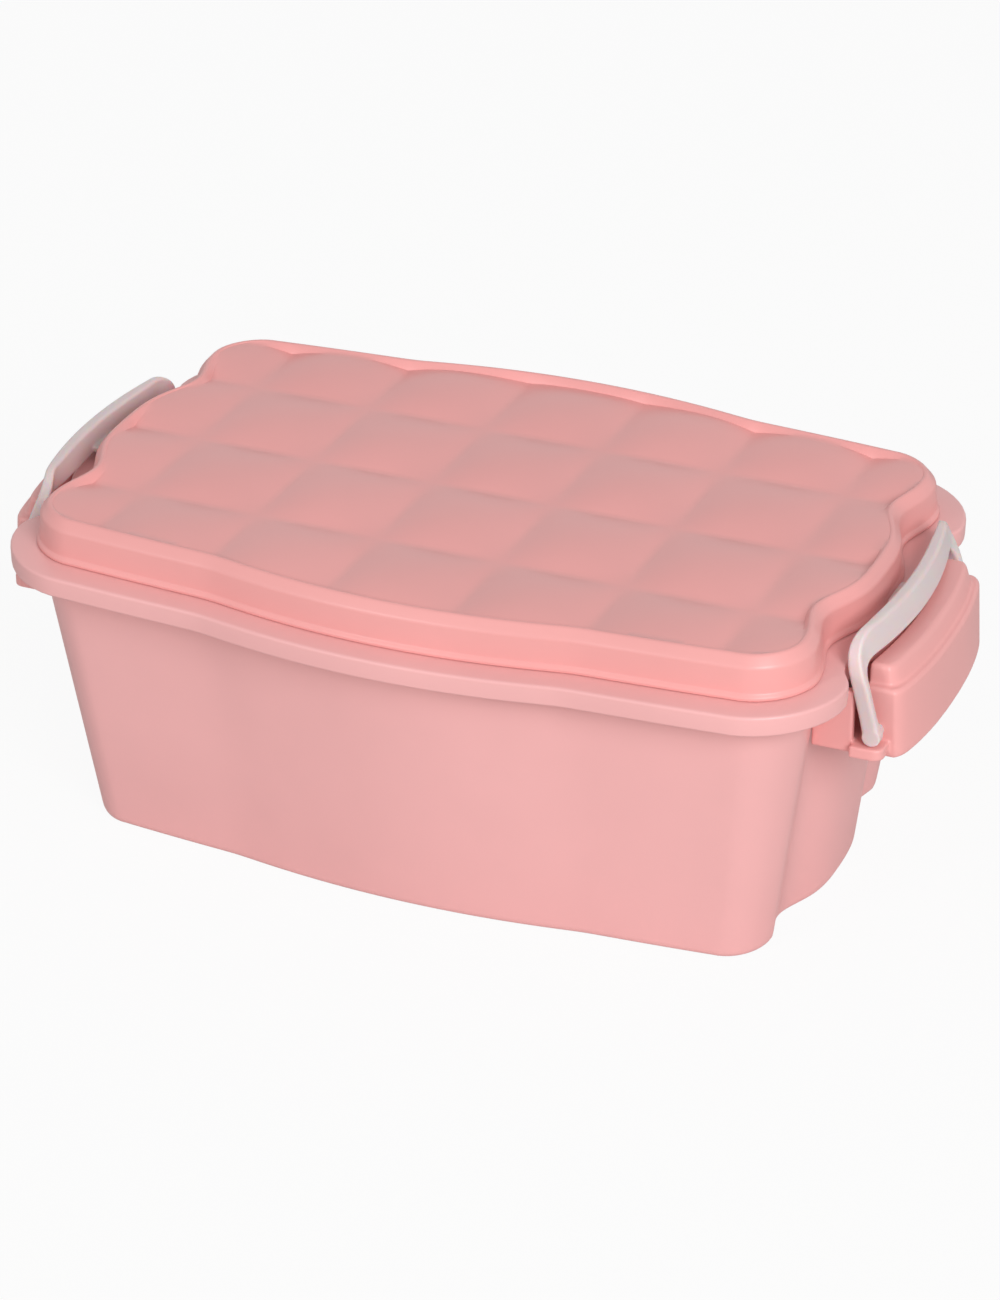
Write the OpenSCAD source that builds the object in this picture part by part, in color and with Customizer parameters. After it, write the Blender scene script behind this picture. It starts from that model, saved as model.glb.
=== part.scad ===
// Lunch box with a quilted lid held by two swing bails.
// Origin: middle of the flat bottom. +X runs to the right end, -Y is the front, +Z is up.

/* [Plan outline] */
// Half length of the lid's raised edge, before the end arch
half_len = 87.8; // [80:0.2:96]
// Half width of the lid's raised edge, before the side arch
half_wid = 50.1; // [46:0.1:56]
// Corner radius of the lid's raised edge
corner_r = 7.8; // [6:0.2:12]
// How far the long sides bow outwards
side_arch = 5; // [2:0.5:7]
// How far the ends bow outwards
end_arch = 4; // [2:0.5:5]
// Extra bulge of the middle lobe on the long sides
lobe_rise = 4.1; // [1:0.1:6]
// Distance from the middle to the creases between the lobes
lobe_x = 43.2; // [36:0.2:50]
// Depth of the notches at the ends, where the bail legs pass
notch_depth = 4.6; // [3:0.1:6]
// Distance from the middle to those notches
notch_y = 25.9; // [24:0.1:28]

/* [Heights] */
// Height over the lid's raised edge
total_h = 81.9; // [79:0.1:86]
// Rise of the lid's raised edge over the tub's flange
lid_h = 10; // [9:0.1:11]
// Thickness of the tub's flange
flange_t = 5.1; // [3:0.1:7]

/* [Shells] */
// Wall thickness of the tub
wall_t = 1.9; // [1.6:0.1:2.4]
// Wall thickness of the tray
tray_t = 1.5; // [1.2:0.1:2]
// Width of the flange beyond the lid's raised edge
flange_out = 11.2; // [10:0.1:12.4]
// Width of the lid's skirt beyond its raised edge
lip_out = 7.5; // [7:0.1:8]
// Gap between the lid and the tub
lid_gap = 0.4; // [0.3:0.1:0.6]

/* [Quilt] */
// Pillow length along the box
pitch_x = 30; // [28:0.5:31]
// Pillow width across the box
pitch_y = 30.7; // [28:0.1:33]
// Rise of each pillow over its creases
pillow_rise = 2.1; // [0.6:0.1:2.2]

/* [Bails and grips] */
// Distance of the bail pivots beyond the lid's raised edge
pivot_out = 16.5; // [16:0.1:18]
// Drop of the bail pivots under the tub's flange
pivot_drop = 15.6; // [14:0.1:17]
// Radius of a bail's trunnion
trunnion_r = 1.55; // [1.2:0.05:1.8]
// Radial clearance of the trunnion in the grip
trunnion_gap = 0.05; // [0.02:0.01:0.1]
// Gap between the grip block and a bail leg
leg_gap = 2; // [1.4:0.1:2.6]
// Thickness of the bail legs
leg_t = 2.5; // [2:0.1:3]
// Half width of a bail leg
leg_r = 1.8; // [1.6:0.05:2]
// Radius of the round foot of a bail leg
eye_r = 2.1; // [2:0.05:2.4]
// Height of the bail's bar
bar_h = 7.4; // [6:0.1:8]
// Thickness of the bail's bar
bar_t = 2.3; // [2:0.1:2.8]
// Half length of the grip block
grip_half = 30; // [28:0.2:31]

/* [Inside] */
// Depth of the food tray
tray_h = 25; // [18:1:32]
// Thickness of the dividers
divider_t = 1.6; // [1.2:0.1:2.4]
// Play of each divider between its guide ribs
divider_gap = 0.3; // [0.2:0.1:0.5]
// Place of the tray's moulded cross wall
tray_wall_x = -27; // [-40:1:-10]
// Place of the tray's removable divider
tray_div_x = 27; // [10:1:40]

/* [Hidden] */
$fn = 48;
e = 0.01;
crease_soft = 0.125;
notch_w = 10.1;
end_steps = 8;
corner_steps = 4;
side_steps = 16;
pillow_steps = 6;
flange_top = total_h - lid_h;
flange_bot = flange_top - flange_t;
lid_bot = flange_top + lid_gap;
lid_under = total_h - 4;
valley_z = total_h - 2.3;
rim_top = flange_top + 3.7;
seal_top = lid_under + 0.3;
seal_bot = rim_top + 0.3;
floor_t = 2;
ledge_z = flange_top - 2.9;
ledge_d = 0.7;
rim_in = 2.2;
rim_out = 4;
tray_bot = ledge_z + 1.8 - tray_h;
foot_d = -3.8;
wall_top_d = 4.1;
foot_lobe = 2.6;
foot_r = 10.4;
wall_top_r = corner_r + 1.08 * wall_top_d;
span_y = half_wid + side_arch + lobe_rise + 1;
pivot_x = half_len + pivot_out;
pivot_z = flange_top - pivot_drop;
leg_in_y = grip_half + leg_gap;
leg_out_y = leg_in_y + leg_t;
leg_tilt = 15;

// Smooth version of max(q, 0)
function soft(q) = (q + sqrt(q * q + crease_soft * crease_soft)) / 2;

// Outward bow of a long side at distance x, for an outline of half length a
function side_bow(x, a, lobe) =
    lobe * soft(1 - pow(x / lobe_x, 2)) / soft(1) + side_arch * (1 - pow(x / a, 2));

// Outward bow of an end at distance y, for an outline of half width b
function end_bow(y, b) =
    end_arch * (1 - pow(y / b, 2)) - notch_depth * exp(-pow((abs(y) - notch_y) / notch_w, 2));

// First quarter of the outline grown by d, with corner radius r and middle lobe height lobe
function quarter(d, r, lobe) =
    let(a = half_len + d, b = half_wid + d, cx = a - r, cy = b - r)
    let(dx = end_bow(cy, b), dy = side_bow(cx, a, lobe))
    [
        for (i = [0 : end_steps]) let(y = cy * i / end_steps) [a + end_bow(y, b), y],
        for (i = [1 : corner_steps - 1]) let(t = 90 * i / corner_steps)
            [cx + r * cos(t) + dx * pow(cos(t), 2), cy + r * sin(t) + dy * pow(sin(t), 2)],
        for (i = [0 : side_steps]) let(x = cx * (1 - i / side_steps)) [x, b + side_bow(x, a, lobe)]
    ];

// Whole outline, anticlockwise from the right end
function outline(d, r, lobe) =
    let(q = quarter(d, r, lobe), n = len(q) - 1)
    [
        for (p = q) p,
        for (i = [n - 1 : -1 : 0]) [-q[i].x, q[i].y],
        for (i = [1 : n]) [-q[i].x, -q[i].y],
        for (i = [n - 1 : -1 : 1]) [q[i].x, -q[i].y]
    ];

function rim_outline(d) = outline(d, corner_r + 1.08 * d, lobe_rise);

// One ring of a shell at height z: the rim's own outline grown by d
function rim_ring(d, z) = [for (p = rim_outline(d)) [p.x, p.y, z]];

// Ring of a wall that runs from the foot to the flange, set in by inset
function wall_ring(z, inset) =
    let(t = z / flange_bot)
    let(d = foot_d + (wall_top_d - foot_d) * t - inset)
    let(r = foot_r + (wall_top_r - foot_r) * t - inset)
    [for (p = outline(d, r, foot_lobe + (lobe_rise - foot_lobe) * t)) [p.x, p.y, z]];

// Ring at one wall height's outline, drawn at another height
function lifted(ring, z) = [for (p = ring) [p.x, p.y, z]];

// Triangles between m rings of n points each
function sweep_sides(n, m) =
    [
        for (j = [0 : m - 2]) for (i = [0 : n - 1]) let(k = (i + 1) % n)
            each [
                [j * n + i, (j + 1) * n + i, (j + 1) * n + k],
                [j * n + i, (j + 1) * n + k, j * n + k]
            ]
    ];

// Closed solid through a list of rings, with flat caps on the first and the last
module sweep(rings) {
    n = len(rings[0]);
    m = len(rings);
    polyhedron(
        points = [for (ring = rings) for (p = ring) p],
        faces = [
            [for (i = [0 : n - 1]) i],
            [for (i = [n - 1 : -1 : 0]) (m - 1) * n + i],
            each sweep_sides(n, m)
        ]
    );
}

// Closed solid like sweep, but with the quilted surface inside the last ring
module quilted_sweep(rings) {
    n = len(rings[0]);
    m = len(rings);
    quilt = [
        for (j = [1 - quilt_ny : quilt_ny - 1]) for (i = [1 - quilt_nx : quilt_nx - 1])
            let(x = side_of(i) * quilt_x(abs(i)), y = side_of(j) * quilt_y(abs(j)))
            [x, y, quilt_z(x, y)]
    ];
    polyhedron(
        points = concat([for (ring = rings) for (p = ring) p], quilt),
        faces = [
            [for (i = [0 : n - 1]) i],
            each sweep_sides(n, m),
            for (j = [-quilt_ny : quilt_ny - 1]) for (i = [-quilt_nx : quilt_nx - 1])
                let(a = quilt_index(i, j, n * m, n * (m - 1)))
                let(b = quilt_index(i + 1, j, n * m, n * (m - 1)))
                let(c = quilt_index(i + 1, j + 1, n * m, n * (m - 1)))
                let(d = quilt_index(i, j + 1, n * m, n * (m - 1)))
                each ((i < 0) != (j < 0) ? [[a, d, b], [b, d, c]] : [[a, d, c], [a, c, b]])
        ]
    );
}

// Prism with the rim's outline grown by d
module rim_prism(d, z0, z1) {
    translate([0, 0, z0]) linear_extrude(z1 - z0) polygon(rim_outline(d));
}

// Two copies, the second turned to the left end
module at_both_ends() {
    children();
    mirror([1, 0, 0]) children();
}

module at_both_sides() {
    children();
    mirror([0, 1, 0]) children();
}

// ---- Tub ----

rail_half = 7;
rail_web = 4;
rail_x0 = half_len + 4.2;
rail_x1 = half_len + 11.6;
rail_head_t = 1.8;
rail_z0 = flange_top - 19.4;

module tub_shell() {
    sweep([
        lifted(wall_ring(0, 2), 0),
        lifted(wall_ring(0, 0.6), 0.5),
        wall_ring(1.8, 0),
        wall_ring(flange_bot - 0.8, 0),
        rim_ring(wall_top_d + 0.3, flange_bot - 0.2),
        rim_ring(wall_top_d + 0.9, flange_bot),
        rim_ring(flange_out - 0.6, flange_bot),
        rim_ring(flange_out, flange_bot + 0.6),
        rim_ring(flange_out, flange_top - 0.6),
        rim_ring(flange_out - 0.5, flange_top),
        rim_ring(rim_out + 0.4, flange_top),
        rim_ring(rim_out, flange_top + 0.4),
        rim_ring(rim_out - 0.1, rim_top - 0.4),
        rim_ring(rim_out - 0.5, rim_top),
        rim_ring(rim_in + 0.4, rim_top),
        rim_ring(rim_in, rim_top - 0.4),
        rim_ring(rim_in, ledge_z),
        rim_ring(ledge_d, ledge_z),
        rim_ring(ledge_d, ledge_z - 1.5),
        wall_ring(flange_bot - 6, wall_t),
        wall_ring(floor_t + 1.6, wall_t),
        lifted(wall_ring(floor_t, wall_t + 0.6), floor_t + 0.5),
        lifted(wall_ring(floor_t, wall_t + 1.8), floor_t)
    ]);
}

// Upright rail with a wide head, moulded on the end wall to carry the grip
module grip_rail() {
    translate([rail_x0, -rail_web, rail_z0])
        cube([rail_x1 - rail_x0, 2 * rail_web, flange_bot - rail_z0 + e]);
    translate([rail_x1 - rail_head_t, -rail_half, rail_z0])
        cube([rail_head_t, 2 * rail_half, flange_bot - rail_z0 + e]);
}

// Ribs on both sides of a divider at x, from height z0 to z1, kept to |y| > clear
module divider_guides(x, z0, z1, clear) {
    place = divider_t / 2 + divider_gap;
    at_both_sides()
        for (x0 = [x - place - guide_t, x + place])
            translate([x0, clear, z0]) cube([guide_t, span_y - clear, z1 - z0]);
}

guide_t = 1.2;
base_div_top = tray_bot - 0.6;
base_guide_y = half_wid + side_arch - 5.5;
tray_guide_y = base_guide_y - 1;

module base_guides() {
    intersection() {
        divider_guides(0, floor_t - e, base_div_top - 8, base_guide_y);
        sweep([
            lifted(wall_ring(0, wall_t - 0.5), floor_t - 0.1),
            wall_ring(base_div_top, wall_t - 0.5)
        ]);
    }
}

relief_x = pivot_x - pivot_drop * tan(leg_tilt) - leg_r / cos(leg_tilt) - 0.5;

// Slot in the flange where a bail leg passes
module leg_relief() {
    translate([relief_x, leg_in_y - 0.8, flange_bot - 1])
        cube([flange_out, leg_t + 1.6, flange_t + 2]);
}

module tub() {
    color([0.93, 0.68, 0.67])
    difference() {
        union() {
            tub_shell();
            at_both_ends() grip_rail();
            base_guides();
        }
        at_both_ends() at_both_sides() leg_relief();
    }
}

// ---- Lid ----

catch_half = 12;
catch_out = 1.05;
catch_top = lid_bot + 1.7;

// Height of the quilted surface
function pillow(u) = let(t = abs(2 * (u - floor(u) - 0.5))) 1 - pow(t, 2.4);
function quilt_z(x, y) =
    valley_z + pillow_rise * pillow(x / pitch_x + 0.5) * pillow(y / pitch_y);

// Inner grid lines of the quilt on one side of the middle, the last ones close to the edge ring
quilt_nx = side_steps + corner_steps / 2;
quilt_ny = end_steps + corner_steps / 2;
quilt_x_end = half_len - corner_r;
quilt_x_last = (side_steps - 1) * pitch_x / pillow_steps;
function quilt_x(i) =
    i < side_steps ? i * pitch_x / pillow_steps
    : quilt_x_last + (quilt_x_end - quilt_x_last) * (i == side_steps ? 0.5 : 0.9);
function quilt_y(j) = min(j, end_steps) * pitch_y / pillow_steps + max(0, j - end_steps) * 2.5;

// Number of the edge ring's point that lies next to grid place (i, j), both counted from the middle
function edge_index(i, j) =
    let(n = quilt_nx + quilt_ny)
    let(q = abs(i) == quilt_nx ? abs(j) : n - abs(i))
    i >= 0 && j >= 0 ? q
    : i < 0 && j >= 0 ? 2 * n - q
    : i < 0 ? 2 * n + q
    : (4 * n - q) % (4 * n);

// Grid point number of the quilt, after first other points; its border is the shell's last ring
function quilt_index(i, j, first, ring) =
    abs(i) == quilt_nx || abs(j) == quilt_ny ? ring + edge_index(i, j)
    : first + (j + quilt_ny - 1) * (2 * quilt_nx - 1) + i + quilt_nx - 1;

function side_of(v) = v < 0 ? -1 : 1;

module lid_shell() {
    quilted_sweep([
        rim_ring(-0.4, lid_under),
        rim_ring(0.2, lid_bot + 1.9),
        rim_ring(0.5, lid_bot + 1.6),
        rim_ring(1.1, lid_bot + 1.6),
        rim_ring(1.4, lid_bot + 1.9),
        rim_ring(1.4, seal_top),
        rim_ring(4.4, seal_top),
        rim_ring(4.4, rim_top),
        rim_ring(lip_out - 2, lid_bot),
        rim_ring(lip_out - 0.4, lid_bot),
        rim_ring(lip_out, lid_bot + 0.5),
        rim_ring(lip_out, lid_bot + 1.4),
        rim_ring(lip_out - 1.3, total_h - 2),
        rim_ring(lip_out - 1.6, total_h - 1.4),
        rim_ring(lip_out - 2.1, total_h - 1.1),
        rim_ring(1.8, total_h - 0.45),
        rim_ring(0.9, total_h - 0.08),
        rim_ring(0.1, total_h),
        rim_ring(-0.7, total_h - 0.4),
        edge_ring(-1.7)
    ]);
}

// Ring where the raised edge runs down into the quilt
function edge_ring(d) = [for (p = rim_outline(d)) [p.x, p.y, quilt_z(p.x, p.y) - 0.1]];

// Rib on the end of the skirt, under the bail's bar
module lid_catch() {
    intersection() {
        translate([half_len, -catch_half, lid_bot + 0.2])
            cube([flange_out + end_arch, 2 * catch_half, catch_top - lid_bot - 0.2]);
        difference() {
            rim_prism(lip_out + catch_out, lid_bot, lid_bot + 3);
            rim_prism(lip_out - 1, lid_bot - 1, lid_bot + 4);
        }
    }
}

module lid() {
    color([0.95, 0.71, 0.70])
    union() {
        lid_shell();
        at_both_ends() lid_catch();
    }
}

module lid_seal() {
    color([0.90, 0.88, 0.87]) {
        difference() {
            rim_prism(4.3, seal_bot + 0.6, seal_top);
            rim_prism(1.5, seal_bot, seal_top + 1);
        }
        difference() {
            rim_prism(3.5, seal_bot, seal_bot + 0.6 + e);
            rim_prism(2.7, seal_bot - 1, seal_top);
        }
    }
}

// ---- Bails ----

trunnion_len = 6.6;
eye_proud = 0.15;
bar_bot = flange_top + 0.7;
bar_top = bar_bot + bar_h;
bar_low_x = half_len + 17.6;
bar_high_x = half_len + 14.2;
bend_in = 1;
bend_y = leg_in_y - bend_in;
bend_z = bar_bot - bend_in;
bend_steps = 6;
bar_stations = 26;
edge_cut = 0.45;

// Outer face of the bar at its lower and its upper edge, over its length
function bar_low(y) = bar_low_x - 3.9 * pow(y / grip_half, 2);
function bar_high(y) = bar_high_x - 3 * pow(y / grip_half, 2);

// Lip inside the bar that snaps over the lid's rib
lip_half = 11;
function lip_in(y) = half_len + lip_out + end_arch + 0.45 - 0.55 * pow(y / lip_half, 2);

// Strap section between an inner and an outer place, both [y, z], where it spans [x0, x1];
// tip is how far its lip stands out
function strap_section(inner, outer, xi, xo, tip = 0) =
    let(
        c = edge_cut / norm(outer - inner),
        side = function(t, u, dx) [
            (1 - t) * (xi.x + (xi.y - xi.x) * u) + t * (xo.x + (xo.y - xo.x) * u) + dx,
            (1 - t) * inner.x + t * outer.x,
            (1 - t) * inner.y + t * outer.y
        ]
    )
    [
        side(0, 0, edge_cut),
        side(0, 1, -edge_cut),
        side(c, 1, 0),
        side(1 - c, 1, 0),
        side(1, 1, -edge_cut),
        side(1, 0, edge_cut),
        side(1 - c, 0, 0),
        side(0.5, 0, 0),
        side(0.45, 0, -tip),
        side(0.25, 0, -tip),
        side(0.2, 0, 0),
        side(c, 0, 0)
    ];

// Section of the bar at y
function bar_section(y) =
    let(x0 = bar_low(y), x1 = bar_high(y))
    strap_section(
        [y, bar_bot], [y, bar_top], [x0 - bar_t, x0], [x1 - bar_t, x1],
        abs(y) < lip_half ? 0.65 * x0 + 0.35 * x1 - bar_t - lip_in(y) : 0
    );

// Span of a leg at height z
function leg_span(z) =
    let(x = pivot_x - (z - pivot_z) * tan(leg_tilt), w = leg_r / cos(leg_tilt)) [x - w, x + w];

// Section of the leg at height z on one side
function leg_section(z, side) =
    strap_section([side * leg_in_y, z], [side * leg_out_y, z], leg_span(z), leg_span(z));

// Section in the bend at angle t, 0 at the leg and 90 at the bar
function bend_section(t, side) =
    let(u = (1 - cos(2 * t)) / 2, leg = leg_span(bend_z))
    let(x0 = bar_low(bend_y), x1 = bar_high(bend_y))
    strap_section(
        [side * (bend_y + bend_in * cos(t)), bend_z + bend_in * sin(t)],
        [
            side * (bend_y + (leg_out_y - bend_y) * sqrt(cos(t))),
            bend_z + (bar_top - bend_z) * sqrt(sin(t))
        ],
        (1 - u) * leg + u * [x0 - bar_t, x0],
        (1 - u) * leg + u * [x1 - bar_t, x1]
    );

module bail_strap() {
    sweep([
        leg_section(pivot_z, 1),
        for (i = [0 : bend_steps - 1]) bend_section(90 * i / bend_steps, 1),
        for (i = [0 : bar_stations]) bar_section(bend_y * (1 - 2 * i / bar_stations)),
        for (i = [bend_steps - 1 : -1 : 0]) bend_section(90 * i / bend_steps, -1),
        leg_section(pivot_z, -1)
    ]);
}

// Round foot of a leg with the trunnion that turns in the grip
module bail_eye() {
    translate([pivot_x, leg_in_y - eye_proud, pivot_z])
        rotate([-90, 0, 0]) cylinder(h = leg_t + 2 * eye_proud, r = eye_r);
    translate([pivot_x, leg_in_y - trunnion_len, pivot_z])
        rotate([-90, 0, 0]) cylinder(h = trunnion_len + e, r = trunnion_r);
}

module bail() {
    color([0.86, 0.84, 0.83]) {
        bail_strap();
        at_both_sides() bail_eye();
    }
}

module bail_right() {
    bail();
}

module bail_left() {
    mirror([1, 0, 0]) bail();
}

// ---- Grips ----

grip_bot = flange_top - 22.1;
grip_top = flange_bot - 0.5;
ridge_top = flange_top - 1.1;
ledge_top = pivot_z - eye_r - 0.3;
ledge_bot = ledge_top - 2.8;
ledge_x0 = half_len + 11.9;
ledge_x1 = half_len + 20;
ledge_y = leg_out_y + 1;
ledge_r = 2;
cheek_y = leg_out_y - 1;
cheek_t = 2;
block_x0 = half_len + 13.2;
block_x1 = half_len + 25.1;
ridge_x0 = half_len + flange_out + end_arch + 0.6;
ridge_dip = 1.8;
root_half = 20;

// Ring of the block at height z: inner face with a dip, outer face bowed and rounded at its corners
function grip_ring(z, half, x0, x1, bow, dip) =
    [
        [x0 - dip + 0.5, half, z],
        for (t = [0.98, 0.5, 0, -0.5, -0.98]) [x0 - dip * t * t, half * t, z],
        [x0 - dip + 0.5, -half, z],
        for (i = [0 : 16])
            let(t = sin(90 * (i / 8 - 1)))
            [x1 - bow * pow(abs(t), 2.4) - 0.4 * bow * pow(abs(t), 24), half * t, z]
    ];

module grip_block() {
    sweep([
        grip_ring(grip_bot, grip_half - 0.6, block_x0 + 0.6, block_x1 - 0.9, 3.4, 0),
        grip_ring(grip_bot + 0.5, grip_half, block_x0, block_x1 - 0.1, 3.4, 0),
        grip_ring(grip_bot + 1.5, grip_half, block_x0, block_x1, 3.4, 0),
        grip_ring(grip_top - 1.6, grip_half - 0.2, block_x0, block_x1 - 0.7, 3.4, 0),
        grip_ring(grip_top - 0.5, grip_half - 0.5, block_x0 + 0.1, block_x1 - 1, 3.4, 0),
        grip_ring(grip_top, grip_half - 1.4, block_x0 + 0.6, block_x1 - 1.8, 3.4, 0),
        grip_ring(grip_top + 0.1, grip_half - 3, ridge_x0, block_x1 - 2.4, 3, ridge_dip),
        grip_ring(grip_top + 0.6, grip_half - 3.3, ridge_x0, block_x1 - 2.6, 3, ridge_dip),
        grip_ring(ridge_top - 1.4, grip_half - 3.6, ridge_x0, block_x1 - 3.6, 2.6, ridge_dip),
        grip_ring(ridge_top - 0.4, grip_half - 4.1, ridge_x0 + 0.3, block_x1 - 4.3, 2.4, ridge_dip),
        grip_ring(ridge_top, grip_half - 5, ridge_x0 + 0.9, block_x1 - 5.2, 2.2, ridge_dip)
    ]);
}

// Root of the grip, which slides up over the rail
module grip_root() {
    translate([rail_x1 - 3.2, -root_half, grip_bot + 1])
        cube([block_x0 - rail_x1 + 3.3, 2 * root_half, grip_top - grip_bot - 1.2]);
}

module rail_slot() {
    c = 0.1;
    translate([rail_x0, -rail_web - c, grip_bot - 1])
        cube([rail_x1 - rail_x0, 2 * (rail_web + c), grip_top - grip_bot + 4]);
    translate([rail_x1 - rail_head_t - c, -rail_half - c, grip_bot - 1])
        cube([rail_head_t + 2 * c, 2 * (rail_half + c), grip_top - grip_bot + 4]);
}

// Half plan of the ledge under the bail's feet, with a rounded outer corner
function ledge_plan() =
    [
        [half_len, 0],
        [ledge_x1, 0],
        for (t = [0 : 15 : 90])
            [ledge_x1 - ledge_r + ledge_r * cos(t), ledge_y - ledge_r + ledge_r * sin(t)],
        [ledge_x0, ledge_y],
        [ledge_x0, cheek_y],
        [half_len, cheek_y]
    ];

// Ledge with a cheek at both ends, shaped to the tub's wall
module grip_housing() {
    difference() {
        at_both_sides() {
            translate([0, 0, ledge_bot]) linear_extrude(ledge_top - ledge_bot) polygon(ledge_plan());
            translate([half_len, cheek_y - cheek_t, ledge_bot])
                cube([ledge_x0 - half_len, cheek_t, grip_top - ledge_bot]);
        }
        sweep([wall_ring(ledge_bot - 1, -0.3), wall_ring(flange_bot, -0.3)]);
    }
}

module grip() {
    color([0.95, 0.70, 0.68])
    difference() {
        union() {
            grip_block();
            grip_root();
            grip_housing();
        }
        rail_slot();
        at_both_sides() translate([pivot_x, grip_half - 5.4, pivot_z])
            rotate([-90, 0, 0]) cylinder(h = 8, r = trunnion_r + trunnion_gap);
    }
}

module grip_right() {
    grip();
}

module grip_left() {
    mirror([1, 0, 0]) grip();
}

// ---- Inside ----

tray_rim_z = ledge_z + 1.8;
tray_floor = tray_bot + tray_t;
tray_clear = 0.5;

function tray_ring(z, inset) = rim_ring(ledge_d - tray_clear - 3.4 * (ledge_z - z) / tray_h - inset, z);

module tray_shell() {
    sweep([
        lifted(tray_ring(tray_bot, 1.8), tray_bot),
        lifted(tray_ring(tray_bot, 0.5), tray_bot + 0.5),
        tray_ring(tray_bot + 1.8, 0),
        tray_ring(ledge_z + 0.3, 0),
        rim_ring(rim_in - tray_clear, ledge_z + 0.3),
        rim_ring(rim_in - tray_clear, tray_rim_z - 0.4),
        rim_ring(rim_in - tray_clear - 0.4, tray_rim_z),
        rim_ring(ledge_d - tray_clear - tray_t + 0.3, tray_rim_z),
        rim_ring(ledge_d - tray_clear - tray_t, tray_rim_z - 0.3),
        tray_ring(tray_floor + 1.6, tray_t),
        lifted(tray_ring(tray_floor, tray_t + 0.5), tray_floor + 0.4),
        lifted(tray_ring(tray_floor, tray_t + 1.8), tray_floor)
    ]);
}

// Room in the tray, made smaller by inset
module tray_inside(inset) {
    sweep([
        lifted(tray_ring(tray_floor, tray_t + 1.8 + inset), tray_floor + min(inset, 0)),
        tray_ring(tray_floor + 1.8, tray_t + inset),
        tray_ring(tray_rim_z - 0.3, tray_t + inset)
    ]);
}

module food_tray() {
    color([0.94, 0.92, 0.90])
    union() {
        tray_shell();
        intersection() {
            tray_inside(-0.4);
            union() {
                translate([tray_wall_x - tray_t / 2, -span_y, tray_bot + 0.3])
                    cube([tray_t, 2 * span_y, tray_h - 3]);
                divider_guides(tray_div_x, tray_bot + 0.3, tray_rim_z - 4, tray_guide_y);
            }
        }
    }
}

module tray_divider() {
    color([0.85, 0.62, 0.61])
    intersection() {
        tray_inside(0.4);
        translate([tray_div_x - divider_t / 2, -span_y, tray_floor + 0.3])
            cube([divider_t, 2 * span_y, tray_h - 4]);
    }
}

module base_divider() {
    color([0.85, 0.62, 0.61])
    intersection() {
        sweep([
            lifted(wall_ring(floor_t, wall_t + 2.2), floor_t + 0.3),
            wall_ring(floor_t + 2, wall_t + 0.5),
            wall_ring(base_div_top, wall_t + 0.5)
        ]);
        translate([-divider_t / 2, -span_y, 0]) cube([divider_t, 2 * span_y, total_h]);
    }
}

tub();
lid();
lid_seal();
bail_left();
bail_right();
grip_left();
grip_right();
food_tray();
tray_divider();
base_divider();
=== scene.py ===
"""Looks of the quilted lunch box.

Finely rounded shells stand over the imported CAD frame, with moulded plastics, light and a camera.
"""

import math

import bpy
import numpy as np
from mathutils import Matrix, Vector


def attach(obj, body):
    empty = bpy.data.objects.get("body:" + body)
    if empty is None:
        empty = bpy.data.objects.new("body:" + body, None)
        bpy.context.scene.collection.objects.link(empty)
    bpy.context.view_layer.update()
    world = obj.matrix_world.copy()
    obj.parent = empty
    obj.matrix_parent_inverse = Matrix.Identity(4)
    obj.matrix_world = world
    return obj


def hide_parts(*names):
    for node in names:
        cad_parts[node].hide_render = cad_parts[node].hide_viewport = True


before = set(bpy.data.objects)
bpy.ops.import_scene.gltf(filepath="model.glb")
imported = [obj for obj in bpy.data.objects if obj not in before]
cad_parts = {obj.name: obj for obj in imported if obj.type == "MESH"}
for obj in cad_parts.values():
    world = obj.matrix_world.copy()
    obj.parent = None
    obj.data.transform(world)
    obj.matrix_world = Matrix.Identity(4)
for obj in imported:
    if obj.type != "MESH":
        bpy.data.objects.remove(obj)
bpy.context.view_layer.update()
MM = 0.001  # metres in a millimetre

# ---- Dimensions, in millimetres ----
#
# The outline, the heights and the pivots are those of the part's source. The lid's skirt (LIP_OUT)
# and the bar of the bails were measured on the photograph later, and differ from the solids by up
# to 2.3 mm. A name that ends in _D says how far a ring stands out from the plan outline.

# Plan outline: bowed sides with a lobe each, and bowed ends with two notches each
HALF_LEN = 87.8
HALF_WID = 50.1
CORNER_R = 7.8
CORNER_GAIN = 1.08  # growth of the corner's radius with each millimetre that a ring stands out
SIDE_ARCH = 5.0
END_ARCH = 4.0
LOBE_RISE = 4.1
LOBE_X = 43.2
CREASE_SOFT = 0.125
NOTCH_DEPTH = 4.6
NOTCH_Y = 25.9
NOTCH_W = 10.1

# Tub: flange, rim, inner ledge, wall and foot
TOTAL_H = 81.9
FLANGE_TOP = 71.9
FLANGE_BOT = FLANGE_TOP - 5.1
FLANGE_OUT = 11.2
FLANGE_ROUND = 0.6
RIM_TOP = FLANGE_TOP + 3.7
RIM_ROOT_D = 3.6
RIM_OUT_D = 3.0
RIM_IN_D = 1.8
LEDGE_D = 0.7
LEDGE_Z = FLANGE_TOP - 2.9
WALL_T = 1.9
WALL_TOP_D = 4.1
WALL_SEAM = 0.2
FLOOR_T = 2.0
FLOOR_ROUND = 2.4
FOOT_D = -3.8
FOOT_LOBE = 2.6
FOOT_R = 10.4
FOOT_ROUND = 2.2
DENT = 1.7
DENT_Y = 33.6
DENT_W = 4.0
DENT_FROM_D = WALL_TOP_D + 3  # rings further in have no dent
DENT_REACH = HALF_LEN - 8

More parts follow.
